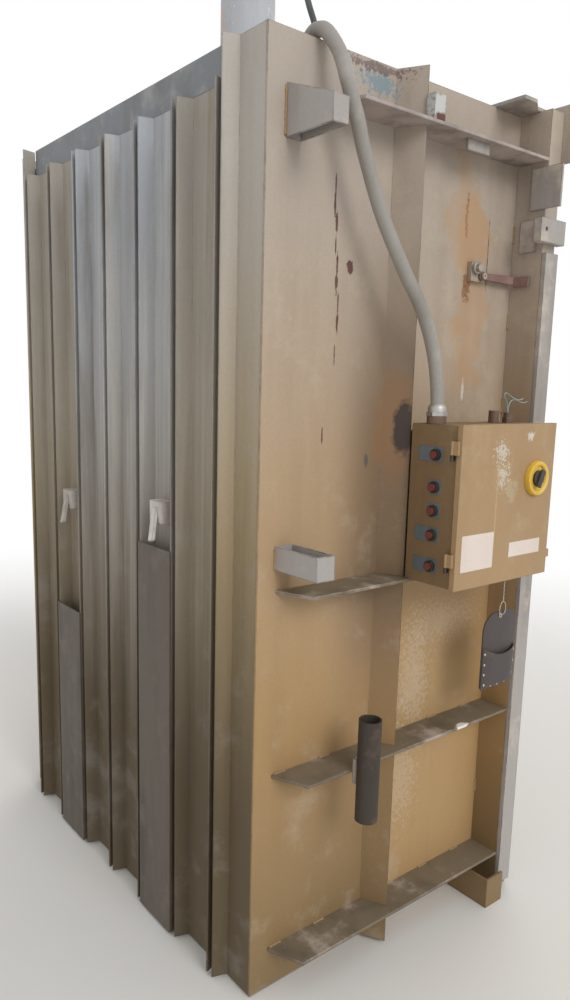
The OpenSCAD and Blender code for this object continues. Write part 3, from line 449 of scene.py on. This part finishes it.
rust_mark, dark_spot, pale_mark = (88, 52, 44), (58, 48, 42), (206, 198, 186)
side_marks = [((-0.72, 0.281 - 0.0032 * i + 0.004 * (i % 2), 2.10 - 0.046 * i),
               (0.04, 0.0026 + 0.0012 * (i % 3), 0.028), rust_mark, 2.2, 60.0, 0.95) for i in range(8)]
side_marks += [
    ((-0.72, 0.268, 1.700), (0.04, 0.0022, 0.030), rust_mark, 2.2, 60.0, 0.8),
    ((-0.72, 0.225, 1.912), (0.04, 0.013, 0.018), rust_mark, 2.4, 60.0, 0.95),
    ((-0.72, 0.003, 2.215), (0.04, 0.008, 0.017), rust_mark, 3.0, 60.0, 0.95),
    ((-0.72, -0.004, 2.138), (0.04, 0.008, 0.006), rust_mark, 2.4, 60.0, 0.95),
    ((-0.72, 0.141, 1.430), (0.04, 0.008, 0.022), (98, 90, 84), 2.0, 60.0, 0.9),
    ((-0.72, 0.300, 1.499), (0.04, 0.003, 0.026), rust_mark, 2.0, 60.0, 0.9),
    ((-0.72, -0.228, 1.905), (0.04, 0.017, 0.040), rust_mark, 3.2, 60.0, 0.95),
    ((-0.72, -0.318, 2.000), (0.04, 0.0024, 0.110), rust_mark, 2.4, 60.0, 0.95),
    ((-0.72, -0.215, 2.090), (0.04, 0.006, 0.060), rust_mark, 5.0, 90.0, 0.9),
    ((-0.72, -0.240, 1.615), (0.04, 0.007, 0.034), pale_mark, 2.0, 60.0, 0.9),
    # A dark spot with an orange rim on the fold beside the top of the box.
    ((-0.740, 0.070, 1.515), (0.10, 0.060, 0.150), (150, 108, 70), 1.6, 14.0, 0.5),
    ((-0.775, 0.060, 1.515), (0.036, 0.030, 0.078), dark_spot, 1.1, 38.0, 0.95),
    ((-0.72, -0.215, 2.050), (0.04, 0.080, 0.200), (178, 138, 92), 4.0, 7.0, 0.35),
    ((-0.72, -0.260, 1.900), (0.04, 0.070, 0.240), (186, 138, 86), 4.0, 7.0, 0.35),
    ((-0.72, -0.091, 0.765), (0.06, 0.060, 0.150), pale_mark, 7.5, 90.0, 0.22),
    ((-0.72, -0.059, 0.470), (0.06, 0.060, 0.140), pale_mark, 7.5, 90.0, 0.20),
    ((-0.72, -0.203, 0.931), (0.06, 0.130, 0.060), pale_mark, 8.0, 100.0, 0.22),
    ((-0.72, 0.145, 2.352), (0.04, 0.060, 0.028), (116, 142, 152), 6.0, 80.0, 0.8),
    ((-0.72, 0.150, 2.386), (0.04, 0.110, 0.012), (98, 74, 72), 6.0, 80.0, 0.7)]
side_paint = coated(
    "tan paint with bleach, haze and shade", coat=tan, dirt=tan_dirt, chalk=tan_chalk, bare=bare_rust, dirtiness=0.28,
    chalkiness=0.3, chips=0.12, rubbing=0.7, edge=0.005, shine=0.5, relief=0.45, tint=wall_bleach_haze_and_shade,
    marks=side_marks)
tan_paint = coated(
    "tan paint", coat=tan, dirt=tan_dirt, chalk=tan_chalk, bare=bare_rust, dirtiness=0.4, chalkiness=0.4,
    chips=0.3, rubbing=0.8, edge=0.005, shine=0.4, tint=bleach_haze_and_foot_shade)
rib_paint = coated(
    "scuffed tan paint", coat=(122, 109, 90), dirt=(84, 77, 65), chalk=(200, 186, 176), bare=(192, 178, 172),
    dirtiness=0.9, chalkiness=0.6, chips=0.5, rubbing=1.0, edge=0.005, shine=0.35, tint=rib_top_haze,
    marks=[((-0.82, -0.215, 0.625), (0.02, 0.030, 0.02), (232, 230, 224), 1.6, 60.0, 1.0)])
band_paint = coated(
    "dull band paint", coat=(126, 130, 135), dirt=(104, 98, 92), chalk=(178, 176, 174), bare=bare_rust,
    dirtiness=0.7, chalkiness=0.5, chips=0.5, rubbing=0.8, edge=0.005, shine=0.4)
coat_nodes(band_paint, "back_band")
coat_nodes(side_paint, "side_skin_left", "side_skin_right")
coat_nodes(tan_paint, "front_posts", "front_header", "front_sills", "front_feet", "gate_rails", "bale_door",
           "feed_gate", "latch_bar")
coat_nodes(rib_paint, "side_ribs")

# Welds: short ragged runs of bead where the ribs, lugs and posts meet the sheet,
# sprayed over with the wall.
weld_paint = coated(
    "painted weld", coat=(158, 130, 92), dirt=(102, 82, 58), chalk=(188, 172, 146), bare=bare_rust,
    dirtiness=0.7, chalkiness=0.5, chips=0.7, rubbing=0.9, edge=0.003, shine=0.4)


def stitch(a, b, run, gap):
    """Runs of bead from a to b with gaps between them."""
    a, b = Vector(a), Vector(b)
    step, pitch = 0.005, run + gap
    way = (b - a).normalized()
    starts = [k * pitch for k in range(int(((b - a).length + gap) / pitch))]
    return [[a + way * (start + step * i) for i in range(int(run / step))] for start in starts]


def lumpy(k):
    """How thick a bead is at its point k, where 1 is its mean."""
    return 1.0 + 0.22 * math.sin(k * 2.1) + 0.12 * math.sin(k * 0.7 + 1)


weld_x = 0.721
rib_tops = (0.126, 0.626, 1.117)
top_rib_top = 2.270
bead_run, bead_gap = 0.045, 0.11
welds = []
for side in (-1, 1):
    x = side * weld_x
    for z, rear_end in [(z, 0.43) for z in rib_tops] + [(top_rib_top, 0.33)]:
        welds += stitch((x, rear_end, z), (x, 0.10, z), bead_run, bead_gap)
        welds += stitch((x, -0.01, z), (x, -0.42, z), bead_run, bead_gap)
    welds += stitch((x, -0.434, 0.30), (x, -0.434, 2.20), 0.05, 0.20)
welds += stitch((-weld_x, 0.441, 2.175), (-weld_x, 0.441, 2.285), 0.11, 0.05)
welds += stitch((-weld_x, 0.443, 1.171), (-weld_x, 0.443, 1.229), 0.056, 0.05)
welds += stitch((-0.834, 0.242, 0.590), (-0.834, 0.242, 0.655), 0.060, 0.05)
tube("weld_runs", welds, 0.0035, weld_paint, "frame", sides=1, swell=lumpy)

# Lugs, stops and plates welded to the left side and its post, tan like the wall
# but more knocked about, and the rusty tool pipe on the second rib.
lug_marks = [((-0.806, 0.036, 2.30), (0.03, 0.03, 0.05), (204, 208, 206), 4.0, 60.0, 0.7),
             ((-0.81, 0.030, 2.275), (0.03, 0.03, 0.014), (98, 56, 44), 1.6, 38.0, 1.0)]
lug_paint = coated(
    "knocked tan paint", coat=(166, 160, 156), dirt=(112, 98, 80), chalk=(206, 194, 176), bare=bare_rust,
    dirtiness=0.7, chalkiness=0.7, chips=0.7, rubbing=1.0, edge=0.006, shine=0.35, marks=lug_marks)
rusty = coated(
    "rusty steel", coat=(64, 56, 49), dirt=(48, 40, 34), chalk=(118, 98, 84), bare=(98, 52, 38),
    dirtiness=0.8, chalkiness=0.6, chips=0.9, rubbing=0.7, edge=0.003, shine=0.3, metallic=0.2, relief=0.9)
coat_nodes(lug_paint, "side_tabs", "side_stubs")
coat_nodes(rusty, "pipe_holder")

# Cylinder: a thick tube in pale primer on an enamelled base plate, with a chromed
# rod, a cap and a pressure port. Its bolts, the valve block beside it, the hinges of
# the bale door and the latch's pivot and screw are of bright bare steel.
def primed(tree, coords, coat):
    """Pinkish patches and white chips in the primer."""
    flaky = cloud(tree, coords, 7.0, 6.0, 0.7)
    fine = cloud(tree, coords, 31.0, 6.0, 0.75)
    colour = over(tree, fade(tree, flaky, 0.50, 0.56, 0.0, 0.85), coat, rgb(204, 182, 174))
    return over(tree, fade(tree, fine, 0.62, 0.64), colour, rgb(230, 228, 226))


primer = coated(
    "pale primer", coat=(186, 189, 195), dirt=(150, 150, 152), chalk=(206, 206, 204), bare=(146, 100, 84),
    dirtiness=0.5, chalkiness=0.5, chips=0.6, rubbing=0.4, edge=0.003, shine=0.5, tint=primed)
chrome = coated(
    "hard chrome", coat=(206, 208, 210), dirt=(150, 146, 140), chalk=(220, 220, 220), bare=(120, 100, 88),
    dirtiness=0.25, chalkiness=0.2, chips=0.0, rubbing=0.1, edge=0.002, shine=1.0, metallic=1.0, relief=0.15)
tank_paint = coated(
    "tank enamel", coat=(132, 138, 140), dirt=(88, 84, 78), chalk=(166, 168, 168), bare=(92, 66, 52),
    dirtiness=0.6, chalkiness=0.4, chips=0.4, rubbing=0.8, edge=0.004, shine=0.6)
coat_nodes(primer, "cylinder_barrel", "cylinder_cap")
coat_nodes(chrome, "ram_rod")
coat_nodes(bright_steel, "ram_piston", "cylinder_bolts", "valve_block", "door_hinge_lowers",
           "door_hinge_uppers", "latch_pivot", "latch_screw")
coat_nodes(tank_paint, "oil_tank", "cylinder_head")

# Pump motor: a finned cast housing on two feet with a fan cover and a terminal
# box, painted blue grey. It lies on the deck, and its pump end meets the tank.
motor_paint = coated(
    "motor enamel", coat=(84, 92, 102), dirt=(64, 60, 56), chalk=(118, 124, 130), bare=(104, 98, 92),
    dirtiness=0.6, chalkiness=0.3, chips=0.3, rubbing=0.7, edge=0.003, shine=0.6)
motor_outline = [(-0.150, 0), (-0.150, 0.060), (-0.144, 0.074), (-0.128, 0.078), (0.084, 0.078),
                 (0.086, 0.084), (0.118, 0.084), (0.128, 0.078), (0.130, 0.060), (0.194, 0.058),
                 (0.200, 0.058), (0.200, 0)]
motor = Vector((0.070, -0.310, 2.460))
fin_count, fin_radius = 31, 0.0825
fin_half = Vector((0.104, 0.0016, 0.0075))
deck_top = 2.345
bm = bmesh.new()
lathe(bm, motor_outline, motor, (1, 0, 0), 48)
for k in range(fin_count):
    angle = math.radians(k * 360 / fin_count)
    out = Vector((0, math.sin(angle), math.cos(angle)))
    if -0.8 < out.z < 0.86:
        at = motor + out * fin_radius + Vector((-0.022, 0, 0))
        bar(bm, at - fin_half, at + fin_half, 0.0008, 1, Matrix.Rotation(-angle, 4, "X"))
for x in (-0.050, 0.120):
    bar(bm, (x, -0.405, deck_top), (x + 0.030, -0.215, deck_top + 0.012), 0.002)
    for y in (-0.380, -0.275):
        bar(bm, (x + 0.004, y, deck_top + 0.009), (x + 0.026, y + 0.035, deck_top + 0.057), 0.003)
bar(bm, (0.000, -0.350, 2.536), (0.080, -0.270, 2.570), 0.004)
bar(bm, (-0.003, -0.353, 2.570), (0.083, -0.267, 2.580), 0.002)
piece("motor_housing", bm, motor_paint, "frame", "motor_paint", "pump_motor")

# Control box: a steel box on two short ribs with a row of five push buttons in
# its side. The body is coloured darker and browner than the door: painted shade on the same tan.
# Painted shade: the body's darker, browner coat.
box_shaded_paint = coated(
    "box enamel with painted shade", coat=(126, 102, 72), dirt=(94, 74, 50), chalk=(184, 164, 130), bare=(92, 62, 46),
    dirtiness=0.45, chalkiness=0.3, chips=0.3, rubbing=0.9, edge=0.003, shine=0.6)
door_marks = [
    ((-0.971, -0.100, 1.460), (0.02, 0.022, 0.022), pale_mark, 9.0, 150.0, 0.75),
    ((-0.971, -0.110, 1.400), (0.02, 0.020, 0.026), pale_mark, 9.0, 150.0, 0.7),
    ((-0.971, -0.150, 1.360), (0.02, 0.030, 0.030), (186, 170, 144), 4.0, 60.0, 0.45),
    ((-0.971, -0.225, 1.500), (0.02, 0.016, 0.010), pale_mark, 6.0, 120.0, 0.9),
    ((-0.971, -0.090, 1.330), (0.02, 0.004, 0.150), (192, 164, 126), 1.4, 30.0, 0.5)]
door_paint = coated(
    "box door enamel", coat=(168, 138, 100), dirt=(134, 108, 74), chalk=(196, 176, 146), bare=(92, 62, 46),
    dirtiness=0.3, chalkiness=0.3, chips=0.25, rubbing=0.9, edge=0.003, shine=0.6, marks=door_marks)
legend_blue = coated(
    "legend plate", coat=(110, 124, 134), dirt=(84, 82, 76), chalk=(148, 156, 160), bare=(150, 148, 142),
    dirtiness=0.5, chalkiness=0.3, chips=0.3, rubbing=0.8, edge=0.002, shine=0.7, metallic=0.5, relief=0.3)
dark_metal = coated(
    "dark metal", coat=(66, 60, 56), dirt=(92, 76, 62), chalk=(110, 104, 98), bare=(104, 70, 52),
    dirtiness=0.6, chalkiness=0.4, chips=0.5, rubbing=0.8, edge=0.002, shine=0.5, metallic=0.5)
button_red = coated(
    "red push button", coat=(112, 50, 46), dirt=(84, 52, 44), chalk=(160, 110, 100), bare=(82, 44, 38),
    dirtiness=0.6, chalkiness=0.4, chips=0.2, rubbing=0.3, edge=0.003, shine=0.6, relief=0.3)
label_white = coated(
    "blank label", coat=(222, 208, 198), dirt=(194, 176, 156), chalk=(232, 226, 220), bare=(198, 176, 140),
    dirtiness=0.35, chalkiness=0.4, chips=0.2, rubbing=0.3, edge=0.001, shine=0.6, relief=0.2)
fitting_brown = coated(
    "brown fitting", coat=(118, 96, 82), dirt=(82, 66, 56), chalk=(160, 146, 134), bare=(104, 68, 50),
    dirtiness=0.6, chalkiness=0.4, chips=0.5, rubbing=0.7, edge=0.003, shine=0.5, metallic=0.5)
coat_nodes(box_shaded_paint, "box_body")
coat_nodes(door_paint, "box_door")
coat_nodes(legend_blue, "legend_plates")
coat_nodes(dark_metal, "button_bezels", "box_hinges")
coat_nodes(button_red, "button_1", "button_2", "button_3", "button_4", "button_5")
coat_nodes(label_white, "door_labels")
coat_nodes(fitting_brown, "box_fittings")

# Swing lever: a rusty flat arm that turns on the wall. A bright hexagon bolt with
# its washer sits above the dark cap of its pin, on a small plate sprayed with the wall.
lever_rust = coated(
    "mauve rust", coat=(142, 112, 104), dirt=(96, 66, 58), chalk=(176, 150, 140), bare=(92, 50, 40),
    dirtiness=0.8, chalkiness=0.5, chips=0.9, rubbing=0.7, edge=0.003, shine=0.35, metallic=0.2, relief=0.9)
coat_nodes(lever_rust, "swing_lever")
coat_nodes(tan_paint, "lever_bracket")
bolt_head = [(0.0, 0), (0.0, 0.0150), (0.0018, 0.0150), (0.0020, 0.0118), (0.0090, 0.0122),
             (0.0115, 0.0105), (0.0122, 0.0)]
washer = [(0.0, 0.0), (0.0, 0.0168), (0.0016, 0.0168), (0.0022, 0.0145), (0.0022, 0.0)]
pin_cap = [(0.0, 0.0), (0.0, 0.0092), (0.0055, 0.0086), (0.0072, 0.0060), (0.0076, 0.0)]
outward = (-1, 0, 0)
bm = bmesh.new()
lathe(bm, bolt_head, (-0.7422, -0.247, 1.958), outward, 6)
lathe(bm, washer, (-0.7421, -0.247, 1.958), outward, 32)
piece("lever_bolt", bm, bright_steel, "frame", "bare_steel")
bm = bmesh.new()
lathe(bm, pin_cap, (-0.7426, -0.274, 1.938), outward, 32)
piece("lever_pin_cap", bm, dark_metal, "frame", "dark_metal")

# Main switch: a yellow moulded ring on the door with a black rotary grip in it,
# both of glass-filled plastic that the sun has dulled.
ring_yellow = coated(
    "yellow plastic", coat=(226, 184, 58), dirt=(176, 136, 60), chalk=(236, 216, 140), bare=(190, 150, 70),
    dirtiness=0.4, chalkiness=0.4, chips=0.0, rubbing=0.2, edge=0.003, shine=0.6, relief=0.25)
grip_black = coated(
    "black plastic", coat=(48, 44, 44), dirt=(86, 76, 68), chalk=(96, 92, 90), bare=(70, 62, 58),
    dirtiness=0.5, chalkiness=0.3, chips=0.1, rubbing=0.5, edge=0.002, shine=0.55, relief=0.25)
switch = Vector((-0.971, -0.255, 1.387))
ring_outline = [(0, 0.0068), (0, 0.047), (0.010, 0.047), (0.0138, 0.0455), (0.015, 0.0425), (0.0148, 0.038),
                (0.0125, 0.0345), (0.008, 0.033), (0.008, 0.0068), (0, 0.0068)]
grip_outline = [(0.001, 0), (0.001, 0.006), (0.0085, 0.006), (0.0085, 0.0215), (0.0145, 0.022),
                (0.0158, 0.0205), (0.016, 0)]
grip_low, grip_high = Vector((-0.024, -0.0085, -0.025)), Vector((-0.0152, 0.0085, 0.025))
grip_turn = Matrix.Rotation(math.radians(25), 4, "X")
bm = bmesh.new()
lathe(bm, ring_outline, switch, outward, 48)
piece("switch_ring", bm, ring_yellow, "box_door", "yellow_plastic", "disconnect_ring")
bm = bmesh.new()
lathe(bm, grip_outline, switch, outward, 40)
bar(bm, switch + grip_low, switch + grip_high, 0.003, 3, grip_turn)
piece("switch_grip", bm, grip_black, "switch", "black_plastic", "disconnect_handle")

# Sheath: black leather on a wire loop under the box. A back strap carries a
# riveted pouch that bellies out; the wire goes round the hook and the eyelet.
leather = coated(
    "black leather", coat=(74, 66, 64), dirt=(48, 42, 40), chalk=(112, 102, 98), bare=(122, 104, 92),
    dirtiness=0.6, chalkiness=0.6, chips=0.35, rubbing=0.6, edge=0.003, shine=0.5, relief=1.0)
rivet_steel = coated(
    "pale rivet", coat=(196, 188, 176), dirt=(130, 112, 92), chalk=(214, 210, 204), bare=(120, 90, 70),
    dirtiness=0.4, chalkiness=0.3, chips=0.2, rubbing=0.3, edge=0.001, shine=0.7, metallic=0.6, relief=0.2)
hang_y, hang_z = -0.285, 0.983
strap_back, strap_front = -0.8693, -0.8745
strap_outline = [(-75, -198), (-66, -216), (-49, -228), (68, -228), (75, -220), (75, -46), (67, -24),
                 (44, -5), (30, 0), (-48, 0), (-66, -9), (-75, -30)]
bm = bmesh.new()
corners = [(strap_front, hang_y + u / 1000, hang_z + v / 1000) for u, v in strap_outline]
strap = bm.faces.new([bm.verts.new(corner) for corner in corners])
raised = bmesh.ops.extrude_face_region(bm, geom=[strap])["geom"]
raised = [g for g in raised if isinstance(g, bmesh.types.BMVert)]
bmesh.ops.translate(bm, verts=raised, vec=(strap_back - strap_front, 0, 0))
bmesh.ops.bevel(bm, geom=bm.edges[:], offset=0.0015, offset_type="OFFSET", affect="EDGES", segments=2,
                profile=0.5, material=-1)
pouch_turn = Matrix.Rotation(math.radians(-90), 4, "Y")
pouch = bmesh.ops.create_grid(bm, x_segments=20, y_segments=22, size=0.5, matrix=pouch_turn)["verts"]
pouch_x, half_width, belly = -0.8765, 0.074, 0.0115
for v in pouch:
    across, up = v.co.y * 2, v.co.z + 0.5
    top = -0.126 + 0.022 * across * across + 0.006 * across
    bottom = -0.227 + 0.012 * max(0.0, -across - 0.4)
    inside = max(0.0, 1 - abs(across) ** 5) * max(0.0, 1 - (1 - up) ** 7)
    v.co = (pouch_x - belly * inside, hang_y + half_width * across, hang_z + bottom + (top - bottom) * up)
bmesh.ops.solidify(bm, geom=list({f for v in pouch for f in v.link_faces}), thickness=0.0022)
piece("leather_sheath", bm, leather, "pouch", "black_leather", "sheath")
rivet = [(0, 0.0042), (0.0012, 0.0040), (0.0022, 0.0026), (0.0026, 0)]
eyelet = [(0, 0.0032), (0, 0.0068), (0.0012, 0.0062), (0.0016, 0.0050), (0.0012, 0.0036), (0, 0.0032)]
rivet_x = -0.8790
rivet_places = [(68, -118), (68, -150), (68, -180), (65, -212), (33, -219), (2, -220), (-32, -218),
                (-64, -198), (-68, -162), (-67, -126)]
bm = bmesh.new()
for u, v in rivet_places:
    lathe(bm, rivet, (rivet_x, hang_y + u / 1000, hang_z + v / 1000), outward, 12)
lathe(bm, eyelet, (strap_front, hang_y, 0.970), outward, 20)
piece("sheath_rivets", bm, rivet_steel, "pouch", "bare_steel")
wire_x, wire_gauge = -0.8800, 0.0013
loop_turns = [math.tau * k / 40 for k in range(40)]
loop = [Vector((wire_x + 0.0085 * max(0.0, -math.cos(a)) ** 4, hang_y + 0.0140 * math.sin(a),
                0.9910 + 0.0225 * math.cos(a))) for a in loop_turns]
eye_turns = [math.tau * k / 24 for k in range(25)]
hook_eye = [Vector((wire_x, hang_y + 0.0055 * math.sin(a), 1.099 + 0.0055 * math.cos(a))) for a in eye_turns]
drop = [Vector((wire_x + 0.0008 * math.sin(k * 1.3), hang_y + 0.0008 * math.cos(k * 1.3),
                1.0935 - k * 0.0026)) for k in range(32)]
wires = tube("hanger_wire", [hook_eye, drop, loop + loop[:1]], wire_gauge, rivet_steel, "pouch",
             sides=2)
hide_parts("sheath_hanger")

# Floor and light: a pale floor that fades to white, a white surround, one broad
# lamp from the side of the control box, a weaker one from the front and soft
# light from everywhere else.
floor_mesh = bpy.data.meshes.new("ground")
bm = bmesh.new()
bmesh.ops.create_circle(bm, cap_ends=True, segments=96, radius=14.0)
bm.to_mesh(floor_mesh)
bm.free()
ground = bpy.data.objects.new("ground", floor_mesh)
scene.collection.objects.link(ground)


def seen_directly(tree):
    """One for rays from the camera and for those mirrored in or seen through a piece."""
    rays = put(tree, "LightPath").outputs
    mirrored = calc(tree, "MAXIMUM", rays["Is Glossy Ray"], rays["Is Transmission Ray"])
    return calc(tree, "MAXIMUM", rays["Is Camera Ray"], mirrored)


ground_look = bpy.data.materials.new("pale ground")
ground_look.use_nodes = True
tree = ground_look.node_tree
shader = tree.nodes["Principled BSDF"]
shader.inputs["Base Color"].default_value = rgb(226, 224, 220)
shader.inputs["Roughness"].default_value = 0.9
far = put(tree, "VectorMath", [put(tree, "TexCoord").outputs["Object"]], operation="LENGTH").outputs["Value"]
white = put(tree, "Emission", {"Color": (1, 1, 1, 1), "Strength": 1.0}).outputs[0]
faded = calc(tree, "MULTIPLY", seen_directly(tree), fade(tree, far, 2.0, 5.5))
mixed = put(tree, "MixShader", [faded, shader.outputs[0], white])
tree.links.new(mixed.outputs[0], tree.nodes["Material Output"].inputs["Surface"])
floor_mesh.materials.append(ground_look)

world = bpy.data.worlds.new("studio")
scene.world = world
world.use_nodes = True
tree = world.node_tree
surround = tree.nodes["Background"].inputs
light_on_object, light_seen = 0.70, 1.0
tree.links.new(fade(tree, seen_directly(tree), 0.0, 1.0, light_on_object, light_seen), surround["Strength"])
surround["Color"].default_value = (1, 1, 1, 1)
lamps = (("side_lamp", 1.2, 30, (-0.84, 0.06, 0.52)), ("front_lamp", 0.55, 40, (0.45, -0.75, 0.5)))
for name, strength, spread, come_from in lamps:
    lamp = bpy.data.objects.new(name, bpy.data.lights.new(name, "SUN"))
    lamp.data.energy = strength
    lamp.data.angle = math.radians(spread)
    lamp.rotation_euler = Vector(come_from).to_track_quat("Z", "Y").to_euler()
    scene.collection.objects.link(lamp)

scene.view_settings.view_transform = "Standard"
